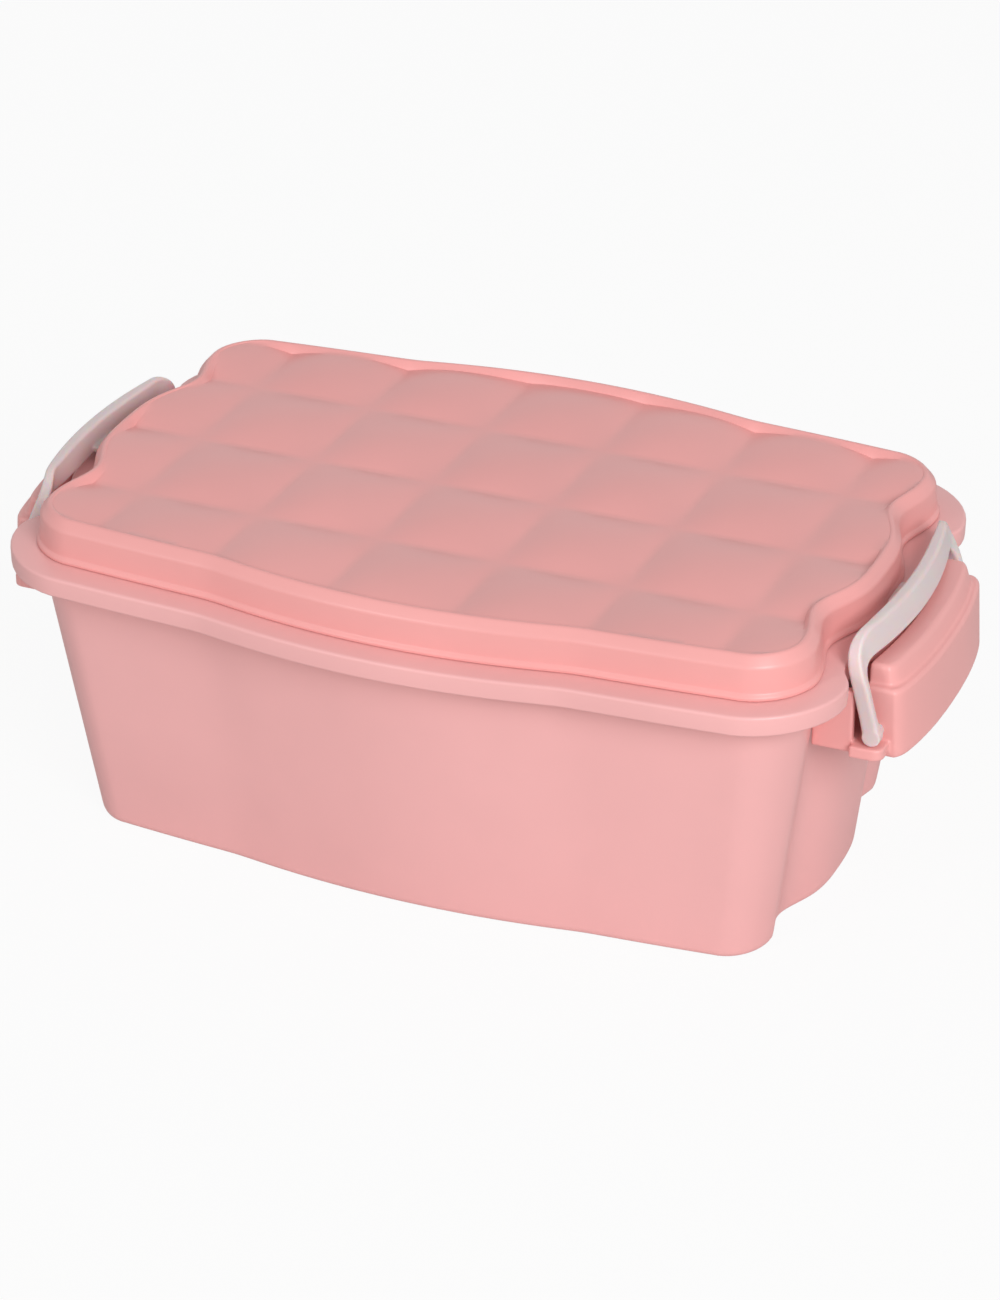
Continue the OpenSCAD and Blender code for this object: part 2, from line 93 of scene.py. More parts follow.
# Rails of the tub under the grips, and guide ribs of the base divider
RAIL_X0 = HALF_LEN + 4.2
RAIL_X1 = HALF_LEN + 11.6
RAIL_Z0 = FLANGE_TOP - 19.4
RAIL_WEB = 4.0
RAIL_HALF = 7.0
RAIL_HEAD = 1.8
BASE_GUIDE_X = 1.1
BASE_GUIDE_Y = HALF_WID + SIDE_ARCH - 5.5
BASE_GUIDE_TOP = 31.0
GUIDE_T = 1.2
GUIDE_DEPTH = 1.5

# Lid: skirt, steep band up to P2, crest and quilt
LIP_OUT = 5.2
LID_BOT = FLANGE_TOP + 0.15
LID_UNDER = TOTAL_H - 4
P2_OUT = 4.2
P2_Z = TOTAL_H - 2.4
CREST_OUT = 2.3
QUILT_EDGE = 0.3
QUILT_EDGE_Z = TOTAL_H - 1.6
VALLEY_Z = TOTAL_H - 2.3
PITCH_X = 30.0
PITCH_Y = 30.7
PILLOW_RISE = 2.1
PILLOW_POWER = 2.1
GRID_X = HALF_LEN - 2.5
GRID_Y = HALF_WID + 1.5
BEND_FROM_X = 0.84  # share of the grid's half length from which its rows bend out to the border
BEND_FROM_Y = 0.72

# Seal and the channel that holds it
CHANNEL_IN_D = 1.1
CHANNEL_OUT_D = 3.3
SEAL_IN_D = 1.2
SEAL_OUT_D = 3.2
SEAL_TOP = LID_UNDER + 0.3
SEAL_BOT = RIM_TOP + 0.3

# Bails: pivot, leg, eye round the pivot, trunnion, bar, bend and snap lip
PIVOT_X = HALF_LEN + 16.5
PIVOT_Z = FLANGE_TOP - 15.6
GRIP_HALF = 30.0
LEG_IN_Y = GRIP_HALF + 2
LEG_OUT_Y = LEG_IN_Y + 2.5
LEG_R = 1.8
LEG_SLOPE = math.tan(math.radians(15))
FOOT_FLARE = 0.25
FOOT_FLARE_H = 6
EYE_R = 2.1
EYE_PROUD = 0.15
TRUNNION_R = 1.55
TRUNNION_LEN = 6.6
BAR_BOT = FLANGE_TOP + 0.7
BAR_TOP = BAR_BOT + 7.0
BAR_T = 2.3
BAR_LOW_X = HALF_LEN + 17.6
BAR_LOW_BOW = 3.9
BAR_HIGH_X = HALF_LEN + 16.2
BAR_HIGH_BOW = 3.6
BAR_THICK = 2.2
BAR_THICK_TOP = 0.25  # share of BAR_THICK that is left at the bar's upper edge
BEND_Y = 6.0
BEND_Z = 5.5
EDGE_CUT = 0.5
LIP_HALF = 5.0
LIP_X = HALF_LEN + LIP_OUT + END_ARCH + 0.5
LIP_Z = LID_BOT + 1.5

# Grips: block, ridge on the block, ledge under the bail's feet, cheeks and root on the rail
GRIP_BOT = FLANGE_TOP - 22.1
GRIP_TOP = FLANGE_BOT - 0.5
RIDGE_TOP = FLANGE_TOP - 1.1
RIDGE_X0 = HALF_LEN + FLANGE_OUT + END_ARCH + 0.6
RIDGE_DIP = 2.6
BLOCK_X0 = HALF_LEN + 13.2
BLOCK_X1 = HALF_LEN + 25.1
BLOCK_BOW = 3.1
LEDGE_TOP = PIVOT_Z - EYE_R - 0.3
LEDGE_BOT = LEDGE_TOP - 2.8
LEDGE_X0 = HALF_LEN + 11.9
LEDGE_X1 = HALF_LEN + 19.4
LEDGE_Y = LEG_OUT_Y + 1
LEDGE_R = 2.3
CHEEK_X0 = HALF_LEN + 2.6
CHEEK_Y = LEG_OUT_Y - 1
CHEEK_T = 2.0
ROOT_X0 = RAIL_X1 - 3.2
ROOT_HALF = 20

# Steps of the curves
ROD_STEPS = 40
BLOCK_STEPS = 64
LEG_STEPS = 16
BEND_STEPS = 25
BAR_STEPS = 61
LIP_STEPS = 11

# ---- Plan outline ----

# Steps of one quarter of the outline: along the end, round the corner and along the side
END_STEPS = 34
CORNER_STEPS = 12
SIDE_STEPS = 64


def soft(q):
    """Smooth version of max(q, 0)."""
    return (q + np.sqrt(q * q + CREASE_SOFT**2)) / 2


def side_bow(x, a, lobe):
    """How far the long side stands out at x, for a ring of half length a."""
    return lobe * soft(1 - (x / LOBE_X) ** 2) / soft(1.0) + SIDE_ARCH * (1 - (x / a) ** 2)


def end_bow(y, b):
    """How far the end stands out at y, for a ring of half width b."""
    notch = NOTCH_DEPTH * np.exp(-(((abs(y) - NOTCH_Y) / NOTCH_W) ** 2))
    return END_ARCH * (1 - (y / b) ** 2) - notch


def outline(d, r, lobe):
    """Closed outline grown by d, anticlockwise from the right end, as an array of (x, y)."""
    a, b = HALF_LEN + d, HALF_WID + d
    cx, cy = a - r, b - r
    y = cy * np.arange(END_STEPS + 1) / END_STEPS
    end = np.c_[a + end_bow(y, b), y]
    t = np.radians(90 * np.arange(1, CORNER_STEPS) / CORNER_STEPS)
    c, s = np.cos(t), np.sin(t)
    dx, dy = end_bow(cy, b), side_bow(cx, a, lobe)
    corner = np.c_[cx + r * c + dx * c**2, cy + r * s + dy * s**2]
    x = cx * (1 - np.arange(SIDE_STEPS + 1) / SIDE_STEPS)
    side = np.c_[x, b + side_bow(x, a, lobe)]
    q = np.vstack([end, corner, side])
    return np.vstack([q, (q * [-1, 1])[-2::-1], (q * [-1, -1])[1:], (q * [1, -1])[-2:0:-1]])


def rim_ring(d, z):
    """Ring of the lid and of the tub's rim, at height z."""
    p = outline(d, CORNER_R + CORNER_GAIN * d, LOBE_RISE)
    return np.c_[p, np.full(len(p), z)]


def flange_ring(d, z):
    """Ring of the flange, dented at the ends where the legs of the bails pass."""
    p = rim_ring(d, z)
    reach = max(0.0, (d - DENT_FROM_D) / (FLANGE_OUT - DENT_FROM_D))
    dent = DENT * reach * np.exp(-(((np.abs(p[:, 1]) - DENT_Y) / DENT_W) ** 2))
    p[:, 0] -= np.sign(p[:, 0]) * np.where(np.abs(p[:, 0]) > DENT_REACH, dent, 0)
    return p


def wall_ring(z, inset):
    """Ring of the tub's wall at height z, set in by inset."""
    t = z / FLANGE_BOT
    d = FOOT_D + (WALL_TOP_D - FOOT_D) * t - inset
    top_r = CORNER_R + CORNER_GAIN * WALL_TOP_D
    r = FOOT_R + (top_r - FOOT_R) * t - inset
    p = outline(d, r, FOOT_LOBE + (LOBE_RISE - FOOT_LOBE) * t)
    return np.c_[p, np.full(len(p), z)]


# ---- Mesh helpers ----

SHARP_EDGE = 32
ALL_SMOOTH = 180


def rounded(points, steps=6):
    """Profile of (u, v, cut) corners, each replaced by a smooth arc that starts at cut from it."""
    made = []
    for k, (u, v, cut) in enumerate(points):
        here = np.array([u, v], float)
        if cut <= 0 or k in (0, len(points) - 1):
            made.append(here)
            continue
        before = np.array(points[k - 1][:2], float) - here
        after = np.array(points[k + 1][:2], float) - here
        start = here + before / np.linalg.norm(before) * min(cut, 0.48 * np.linalg.norm(before))
        end = here + after / np.linalg.norm(after) * min(cut, 0.48 * np.linalg.norm(after))
        for t in np.linspace(0, 1, steps):
            made.append((1 - t) ** 2 * start + 2 * t * (1 - t) * here + t**2 * end)
    return made


def side_faces(rings, n):
    """Quads between consecutive closed rings of n points."""
    return [
        (j * n + i, j * n + (i + 1) % n, (j + 1) * n + (i + 1) % n, (j + 1) * n + i)
        for j in range(rings - 1)
        for i in range(n)
    ]


def fused(parts, voxel, passes):
    """Closed parts fused to one skin with soft edges and fillets, as (points, faces)."""
    mesh = bpy.data.meshes.new("parts")
    points, faces = [], []
    for more, sides in parts:
        faces += [[len(points) + k for k in f] for f in sides]
        points += [tuple(float(c) for c in p) for p in more]
    mesh.from_pydata(points, [], faces)
    work = bpy.data.objects.new("parts", mesh)
    bpy.context.scene.collection.objects.link(work)
    skin = work.modifiers.new("skin", "REMESH")
    skin.mode = "VOXEL"
    skin.voxel_size = voxel
    soften = work.modifiers.new("soften", "SMOOTH")
    soften.factor = 0.5
    soften.iterations = passes
    done = work.evaluated_get(bpy.context.evaluated_depsgraph_get())
    ready = bpy.data.meshes.new_from_object(done)
    points = np.array([v.co[:] for v in ready.vertices])
    faces = [tuple(f.vertices) for f in ready.polygons]
    bpy.data.objects.remove(work)
    bpy.data.meshes.remove(mesh)
    bpy.data.meshes.remove(ready)
    return points, faces


def ring_solid(rings):
    """Closed solid through rings of equal length, as (points, faces)."""
    n = len(rings[0])
    last = (len(rings) - 1) * n
    faces = side_faces(len(rings), n) + [tuple(range(n))[::-1], tuple(range(last, last + n))]
    return np.vstack(rings), faces


def box_solid(low, high):
    """Box between its lowest and its highest corner, to be fused with other parts."""
    x0, y0, z0 = low
    x1, y1, z1 = high
    corners = [(x0, y0), (x1, y0), (x1, y1), (x0, y1)]
    return ring_solid([np.array([[x, y, z] for x, y in corners]) for z in (z0, z1)])


def rod_solid(middle, radius, y0, y1):
    """Cylinder along Y around the point (x, z), to be fused with other parts."""
    t = np.linspace(0, 2 * np.pi, ROD_STEPS, endpoint=False)
    x, z = middle[0] + radius * np.cos(t), middle[1] + radius * np.sin(t)
    return ring_solid([np.c_[x, np.full(ROD_STEPS, y), z] for y in (y1, y0)])


def mirrored(part):
    """The same solid on the other long side."""
    points, faces = part
    return points * [1, -1, 1], [tuple(f)[::-1] for f in faces]


def make_object(name, points, faces, body, material, sharp=SHARP_EDGE):
    """Mesh object from points in millimetres; it rides on a body and takes a material.

    An edge that turns by more than sharp degrees stays sharp.
    """
    mesh = bpy.data.meshes.new(name)
    mesh.from_pydata([tuple(float(c) * MM for c in p) for p in points], [], faces)
    mesh.validate()
    mesh.update()
    obj = bpy.data.objects.new(name, mesh)
    bpy.context.scene.collection.objects.link(obj)
    mesh.materials.append(material)
    mesh.shade_smooth()
    mesh.set_sharp_from_angle(angle=math.radians(sharp))
    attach(obj, body)
    return obj


def mirrored_skin(skin, side):
    """A skin as it is (side 1) or as its mirror image on the left end (side -1)."""
    points, faces = skin
    return points * [side, 1, 1], faces if side > 0 else [f[::-1] for f in faces]


def fan(ring_start, n, centre, up):
    """Triangles from a centre point to a ring of n points."""
    tri = [(ring_start + i, ring_start + (i + 1) % n, centre) for i in range(n)]
    return tri if up else [t[::-1] for t in tri]


# ---- Materials ----

CLOUD_SCALE = 22
PEEL_SCALE = 420
PEEL_HEIGHT = 0.0004
PEEL_STRENGTH = 0.03
GLOSS_RANGE = (-0.04, 0.05)
PLASTIC_IOR = 1.46
SCATTER_DEPTH = 0.002


def plastic(name, colour, roughness, mottle=0.03, subsurface=0.0):
    """Moulded plastic: slight colour mottling, uneven gloss and a fine orange-peel surface."""
    mat = bpy.data.materials.new(name)
    mat.use_nodes = True
    nodes, links = mat.node_tree.nodes, mat.node_tree.links
    shader = nodes["Principled BSDF"]
    coord = nodes.new("ShaderNodeTexCoord")

    cloud = nodes.new("ShaderNodeTexNoise")
    cloud.inputs["Scale"].default_value = CLOUD_SCALE
    cloud.inputs["Detail"].default_value = 3
    links.new(coord.outputs["Object"], cloud.inputs["Vector"])
    tint = nodes.new("ShaderNodeValToRGB")
    dark, light = tint.color_ramp.elements
    dark.position = 0.3
    dark.color = (*[c * (1 - mottle) for c in colour], 1)
    light.position = 0.7
    light.color = (*[min(1, c * (1 + mottle)) for c in colour], 1)
    links.new(cloud.outputs["Fac"], tint.inputs["Fac"])
    links.new(tint.outputs["Color"], shader.inputs["Base Color"])

    haze = nodes.new("ShaderNodeMapRange")
    haze.inputs["To Min"].default_value = roughness + GLOSS_RANGE[0]
    haze.inputs["To Max"].default_value = roughness + GLOSS_RANGE[1]
    links.new(cloud.outputs["Fac"], haze.inputs["Value"])
    links.new(haze.outputs["Result"], shader.inputs["Roughness"])

    peel = nodes.new("ShaderNodeTexNoise")
    peel.inputs["Scale"].default_value = PEEL_SCALE
    peel.inputs["Detail"].default_value = 2
    links.new(coord.outputs["Object"], peel.inputs["Vector"])
    surface = nodes.new("ShaderNodeBump")
    surface.inputs["Strength"].default_value = PEEL_STRENGTH
    surface.inputs["Distance"].default_value = PEEL_HEIGHT
    links.new(peel.outputs["Fac"], surface.inputs["Height"])
    links.new(surface.outputs["Normal"], shader.inputs["Normal"])

    shader.inputs["IOR"].default_value = PLASTIC_IOR
    shader.inputs["Subsurface Weight"].default_value = subsurface
    shader.inputs["Subsurface Scale"].default_value = SCATTER_DEPTH
    return mat


TUB_PINK = plastic("tub_pink", (0.86, 0.445, 0.437), 0.35)
LID_PINK = plastic("lid_pink", (0.84, 0.375, 0.36), 0.33)
GRIP_PINK = plastic("grip_pink", (0.87, 0.40, 0.385), 0.34)
BAIL_WHITE = plastic("bail_white", (0.72, 0.62, 0.62), 0.36, mottle=0.015, subsurface=0.6)
SEAL_MILKY = plastic("seal_milky", (0.74, 0.71, 0.69), 0.5, mottle=0.02, subsurface=0.3)
TRAY_CREAM = plastic("tray_cream", (0.82, 0.77, 0.73), 0.48, mottle=0.015)
DIVIDER_PINK = plastic("divider_pink", (0.74, 0.33, 0.32), 0.46)

# ---- Tub ----


def tub_rings():
    """Rings of the tub: up the outside from its foot, round flange and rim, down to the floor."""
    outside = rounded([(0, -FOOT_ROUND, 0), (0, 0, 2.0), (FLANGE_BOT - WALL_SEAM, 0, 0)], 9)
    flange = rounded(
        [
            (WALL_TOP_D, FLANGE_BOT - WALL_SEAM, 0),
            (WALL_TOP_D + 0.1, FLANGE_BOT, FLANGE_ROUND),
            (FLANGE_OUT - 0.1, FLANGE_BOT, FLANGE_ROUND),
            (FLANGE_OUT, FLANGE_TOP - 0.3, 0.8),
            (LIP_OUT + 0.5, FLANGE_TOP, FLANGE_ROUND),
            (RIM_ROOT_D, FLANGE_TOP, 0.3),
            (RIM_OUT_D, RIM_TOP, 0.4),
            (RIM_IN_D, RIM_TOP, 0.4),
            (RIM_IN_D, LEDGE_Z, 0.2),
            (LEDGE_D, LEDGE_Z, 0.3),
            (LEDGE_D, LEDGE_Z - 1.5, 0),
        ]
    )
    inside = rounded([(FLANGE_BOT - 6, 0, 0), (FLOOR_T, 0, 2.0), (FLOOR_T, FLOOR_ROUND, 0)], 8)
    return (
        [wall_ring(z, -inset) for z, inset in outside]
        + [flange_ring(d, z) for d, z in flange]
        + [wall_ring(z, WALL_T + inset) for z, inset in inside]
    )


def rail_skin():
    """T-rail on the right end, on which the grip is pushed up."""
    top = FLANGE_BOT + 1
    web = box_solid((RAIL_X0, -RAIL_WEB, RAIL_Z0), (RAIL_X1, RAIL_WEB, top))
    head = box_solid((RAIL_X1 - RAIL_HEAD, -RAIL_HALF, RAIL_Z0), (RAIL_X1, RAIL_HALF, top))
    return fused([web, head], voxel=0.4, passes=3)


def guide_ribs():
    """Four guide ribs of the base divider: two on each long wall."""
    ribs = []
    for x in (BASE_GUIDE_X, -BASE_GUIDE_X - GUIDE_T):
        low = (x, BASE_GUIDE_Y, FLOOR_T - 0.5)
        high = (x + GUIDE_T, BASE_GUIDE_Y + GUIDE_DEPTH, BASE_GUIDE_TOP)
        rib = box_solid(low, high)
        ribs += [rib, mirrored(rib)]
    return fused(ribs, voxel=0.3, passes=3)


def build_tub():
    """Shell of the tub, closed by a fan below and on the floor, with its rails and guide ribs."""
    rings = tub_rings()
    n = len(rings[0])
    middles = [[0, 0, rings[0][0][2]], [0, 0, rings[-1][0][2]]]
    points = np.vstack(rings + [middles])
    faces = side_faces(len(rings), n)
    faces += fan(0, n, len(points) - 2, False)
    faces += fan((len(rings) - 1) * n, n, len(points) - 1, True)
    shell = make_object("tub_shell", points, faces, "tub_body", TUB_PINK)
    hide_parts("tub")
    rail = rail_skin()
    for name, side in (("rail_right", 1), ("rail_left", -1)):
        points, faces = mirrored_skin(rail, side)
        make_object(name, points, faces, "tub_body", TUB_PINK, ALL_SMOOTH)
    points, faces = guide_ribs()
    make_object("base_guides", points, faces, "tub_body", TUB_PINK, ALL_SMOOTH)


# ---- Lid ----


def pillow(u):
    """Pillow section with a soft crease at every whole number."""
    t = np.abs(2 * (u - np.floor(u) - 0.5))
    return 1 - t**PILLOW_POWER


def quilt_z(x, y):
    """Height of the quilt: a crease runs along y = 0, and the middle squares lie across x = 0."""
    return VALLEY_Z + PILLOW_RISE * pillow(x / PITCH_X + 0.5) * pillow(y / PITCH_Y)


def lid_rings():
    """Rings of the lid: its underside, the seal's channel, the skirt and the quilt's border."""
    profile = rounded(
        [
            (-1.2, LID_UNDER, 0),
            (-0.9, LID_BOT + 1.6, 0.4),
            (CHANNEL_IN_D, LID_BOT + 1.6, 0.4),
            (CHANNEL_IN_D, SEAL_TOP, 0.1),
            (CHANNEL_OUT_D, SEAL_TOP, 0.1),
            (3.4, RIM_TOP, 0.4),
            (LIP_OUT - 0.9, LID_BOT, 0.1),
            (LIP_OUT, LID_BOT, 0.2),
            (LIP_OUT, LID_BOT + 0.7, 0.3),
            (LIP_OUT - 0.7, LID_BOT + 1.5, 0.3),
            (P2_OUT, P2_Z, 0.6),
            (CREST_OUT, TOTAL_H - 0.1, 0.5),
            (CREST_OUT - 0.8, TOTAL_H, 0.4),
            (QUILT_EDGE, QUILT_EDGE_Z, 0),
        ],
        7,
    )
    rings = [rim_ring(d, z) for d, z in profile[:-1]]
    edge = rim_ring(QUILT_EDGE, 0)
    edge[:, 2] = quilt_z(edge[:, 0], edge[:, 1])
    return rings + [edge]


def quilt_grid(edge):
    """Grid of quilt points inside the edge ring: straight rows that bend out to meet the ring."""
    nx, ny = SIDE_STEPS + CORNER_STEPS // 2, END_STEPS + CORNER_STEPS // 2
    n = nx + ny

    def ring_point(i, j):
        """Number of the ring's point that belongs to a place on the grid's border."""
        q = abs(j) if abs(i) == nx else n - abs(i)
        if i >= 0 and j >= 0:
            k = q
        elif j >= 0:
            k = 2 * n - q
        elif i < 0:
            k = 2 * n + q
        else:
            k = (4 * n - q) % (4 * n)
        return k

    xs = GRID_X * np.arange(-nx, nx + 1) / nx
    ys = GRID_Y * np.arange(-ny, ny + 1) / ny
    ramp_x = np.clip((np.abs(xs) / GRID_X - BEND_FROM_X) / (1 - BEND_FROM_X), 0, 1) ** 2
    ramp_y = np.clip((np.abs(ys) / GRID_Y - BEND_FROM_Y) / (1 - BEND_FROM_Y), 0, 1) ** 2
    points, index = [], {}
    for j in range(-ny, ny + 1):
        for i in range(-nx, nx + 1):
            if abs(i) == nx or abs(j) == ny:
                index[i, j] = ("ring", ring_point(i, j))
                continue
            si, sj = (nx if i >= 0 else -nx), (ny if j >= 0 else -ny)
            here = np.array([xs[i + nx], ys[j + ny]])
            right = edge[ring_point(si, j), :2] - [xs[si + nx], ys[j + ny]]
            top = edge[ring_point(i, sj), :2] - [xs[i + nx], ys[sj + ny]]
            corner = edge[ring_point(si, sj), :2] - [xs[si + nx], ys[sj + ny]]
            fx, fy = ramp_x[i + nx], ramp_y[j + ny]
            x, y = here + fx * right + fy * top - fx * fy * corner
            index[i, j] = ("inner", len(points))
            points.append((x, y, quilt_z(x, y)))
    return nx, ny, np.array(points), index


def build_lid():
    """Shell of the lid: its rings, the quilt inside the last one and a fan over the underside."""
    rings = lid_rings()
    n, m = len(rings[0]), len(rings)
    nx, ny, inner, index = quilt_grid(rings[-1])
    points = np.vstack(rings + [inner, [[0, 0, LID_UNDER]]])
    number = {"ring": (m - 1) * n, "inner": m * n}

    def vertex(i, j):
        kind, k = index[i, j]
        return number[kind] + k

    faces = side_faces(m, n) + fan(0, n, len(points) - 1, False)
    faces += [
        (vertex(i, j), vertex(i + 1, j), vertex(i + 1, j + 1), vertex(i, j + 1))
        for j in range(-ny, ny)
        for i in range(-nx, nx)
    ]
    shell = make_object("lid_shell", points, faces, "lid_body", LID_PINK)
    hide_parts("lid")


def build_seal():
    """Ring of soft plastic in the channel of the lid, above the tub's rim."""
    section = rounded(
        [
            (SEAL_OUT_D, SEAL_TOP - 0.8, 0),
            (SEAL_OUT_D, SEAL_TOP, 0.2),
            (SEAL_IN_D, SEAL_TOP, 0.2),
            (SEAL_IN_D, SEAL_BOT, 0.3),
            (1.9, SEAL_BOT, 0.2),
            (2.4, SEAL_BOT + 0.6, 0.3),
            (2.9, SEAL_BOT, 0.2),
            (SEAL_OUT_D, SEAL_BOT, 0.2),
        ],
        5,
    )
    rings = [rim_ring(d, z) for d, z in section]
    points = np.vstack(rings)
    faces = side_faces(len(rings) + 1, len(rings[0]))
    faces = [tuple(k % len(points) for k in f)[::-1] for f in faces]
    seal = make_object("seal_ring", points, faces, "lid_body", SEAL_MILKY)
    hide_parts("lid_seal")


# ---- Bails ----


def bar_low(y):
    """Outer face of the bar at its lower edge."""
    return BAR_LOW_X - BAR_LOW_BOW * (y / GRIP_HALF) ** 2


def bar_high(y):
    """Outer face of the bar at its upper edge."""
    return BAR_HIGH_X - BAR_HIGH_BOW * (y / GRIP_HALF) ** 2


def strap_section(inner, outer, inner_span, outer_span):
    """Rounded section between an inner and an outer place (y, z), where it spans (x0, x1)."""
    c = EDGE_CUT / math.dist(inner, outer)
    d = 1 - c
    # Two points for each cut corner: share of the way from inner to outer, share of the span there,
    # and shift along X in cuts
    first = [(0, 0, 1), (0, 1, -1), (c, 1, 0), (d, 1, 0)]
    second = [(1, 1, -1), (1, 0, 1), (d, 0, 0), (c, 0, 0)]
    points = []
    for t, u, shift in first + second:
        low = inner_span[0] + (inner_span[1] - inner_span[0]) * u
        high = outer_span[0] + (outer_span[1] - outer_span[0]) * u
        x = (1 - t) * low + t * high + EDGE_CUT * shift
        points.append((x, (1 - t) * inner[0] + t * outer[0], (1 - t) * inner[1] + t * outer[1]))
    return np.array(points)


def bar_section(y):
    """Section of the bar, which thickens inwards between the bends, most at its lower edge."""
    low, high = bar_low(y), bar_high(y)
    more = BAR_THICK * (1 - (y / (LEG_IN_Y - BEND_Y)) ** 4)
    return strap_section(
        (y, BAR_BOT),
        (y, BAR_TOP),
        (low - BAR_T - more, low),
        (high - BAR_T - BAR_THICK_TOP * more, high),
    )


def leg_span(z):
    """Where the leaning leg lies along X at height z; it widens towards its foot."""
    x, w = PIVOT_X - (z - PIVOT_Z) * LEG_SLOPE, LEG_R * math.sqrt(1 + LEG_SLOPE**2)
    flare = FOOT_FLARE * max(0.0, 1 - (z - PIVOT_Z) / FOOT_FLARE_H) ** 2
    return np.array([x - w - flare, x + w + flare])


def leg_section(z):
    """Section of the leg at height z."""
    return strap_section((LEG_IN_Y, z), (LEG_OUT_Y, z), leg_span(z), leg_span(z))


def bend_section(t):
    """Section in the bend: t runs from 0 at the leg to a right angle at the bar."""
    y, z = LEG_IN_Y - BEND_Y, BAR_BOT - BEND_Z
    u = (1 - math.cos(2 * t)) / 2
    c, s = max(0.0, math.cos(t)), math.sin(t)
    inner = (y + BEND_Y * c, z + BEND_Z * s)
    outer = (y + (LEG_OUT_Y - y) * c, z + (BAR_TOP - z) * s)
    low, high = bar_low(inner[0]), bar_high(outer[0])
    return strap_section(
        inner,
        outer,
        (1 - u) * leg_span(inner[1]) + u * np.array([low - BAR_T, low]),
        (1 - u) * leg_span(outer[1]) + u * np.array([high - BAR_T, high]),
    )


def lip_section(y):
    """Section of the snap lip inside the bar."""
    root = bar_low(y) - BAR_T - 1
    corners = [(LIP_X, LIP_Z), (root, LIP_Z), (root, LIP_Z + 1.3), (LIP_X, LIP_Z + 1)]
    return np.array([[x, y, z] for x, z in corners])


def bail_skin():
    """The right bail: a strap bent from leg to leg, round feet with trunnions, and the snap lip."""
    bend_y, bend_z = LEG_IN_Y - BEND_Y, BAR_BOT - BEND_Z
    half = [leg_section(z) for z in np.linspace(PIVOT_Z, bend_z, LEG_STEPS)[:-1]]
    half += [bend_section(t) for t in (math.pi / 2) * np.linspace(0, 1, BEND_STEPS)[:-1]]
    bar = [bar_section(y) for y in np.linspace(bend_y, -bend_y, BAR_STEPS)]
    strap = ring_solid(half + bar + [ring * [1, -1, 1] for ring in half[::-1]])
    lip = ring_solid([lip_section(y) for y in np.linspace(LIP_HALF, -LIP_HALF, LIP_STEPS)])
    pivot = (PIVOT_X, PIVOT_Z)
    eye = rod_solid(pivot, EYE_R, LEG_IN_Y - EYE_PROUD, LEG_OUT_Y + EYE_PROUD)
    pin = rod_solid(pivot, TRUNNION_R, LEG_IN_Y - TRUNNION_LEN, LEG_IN_Y + 1)
    return fused([strap, lip, eye, mirrored(eye), pin, mirrored(pin)], voxel=0.24, passes=6)


def place_pair(name, skin, places, material):
    """One skin on the right end and mirrored on the left; places are the (node, body) of each."""
    for (node, body), side in zip(places, (1, -1)):
        points, faces = mirrored_skin(skin, side)
        obj = make_object(name + node, points, faces, body, material, ALL_SMOOTH)
        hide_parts(node)


# ---- Grips ----


def block_ring(z, half, x0, x1, bow, dip):
    """Plan ring of the block at height z: dipped inner face, bowed outer face, rounded corners."""
    t = np.sin(np.radians(90 * (np.arange(BLOCK_STEPS + 1) / (BLOCK_STEPS / 2) - 1)))
    outer = np.c_[x1 - bow * np.abs(t) ** 2.4 - 0.4 * bow * np.abs(t) ** 24, half * t]
    s = np.linspace(0.98, -0.98, 15)
    inner = np.c_[x0 - dip * s * s, half * s]
    ends = np.array([[x0 - dip + 0.5, half], [x0 - dip + 0.5, -half]])
    p = np.vstack([ends[:1], inner, ends[1:], outer])
    return np.c_[p, np.full(len(p), z)]


def block_solid():
    """The block with the ridge on top, as a stack of plan rings."""
    low, high, ridge = BLOCK_X1, BLOCK_X1 - 0.8, BLOCK_X1 - 2.4
    block = [
        (GRIP_BOT, 0.2, BLOCK_X0 + 0.2, low - 0.3),
        (GRIP_BOT + 0.4, 0, BLOCK_X0, low),
        (GRIP_TOP - 0.7, 0.3, BLOCK_X0, high),
        (GRIP_TOP, 0.8, BLOCK_X0 + 0.4, high - 0.6),
    ]
    top = [
        (GRIP_TOP + 0.1, 2.2, RIDGE_X0, ridge, 3),
        (RIDGE_TOP - 1, 2.6, RIDGE_X0, ridge - 1.3, 2.6),
        (RIDGE_TOP - 0.3, 3, RIDGE_X0 + 0.1, ridge - 1.8, 2.4),
        (RIDGE_TOP, 3.5, RIDGE_X0 + 0.4, ridge - 2.4, 2.3),
    ]
    return ring_solid(
        [block_ring(z, GRIP_HALF - cut, x0, x1, BLOCK_BOW, 0) for z, cut, x0, x1 in block]
        + [block_ring(z, GRIP_HALF - cut, x0, x1, bow, RIDGE_DIP) for z, cut, x0, x1, bow in top]
    )


def ledge_solid():
    """Ledge under the bail's feet, from the tub's wall to a rounded outer corner."""
    t = np.radians(np.arange(0, 91, 15))
    x, y = LEDGE_X1 - LEDGE_R, LEDGE_Y - LEDGE_R
    corner = np.c_[x + LEDGE_R * np.cos(t), y + LEDGE_R * np.sin(t)]
    inner = np.array([[LEDGE_X0, LEDGE_Y], [LEDGE_X0, CHEEK_Y], [CHEEK_X0, CHEEK_Y]])
    half = np.vstack([corner, inner])
    plan = np.vstack([half * [1, -1], half[::-1]])[::-1]
    return ring_solid([np.c_[plan, np.full(len(plan), z)] for z in (LEDGE_BOT, LEDGE_TOP)])


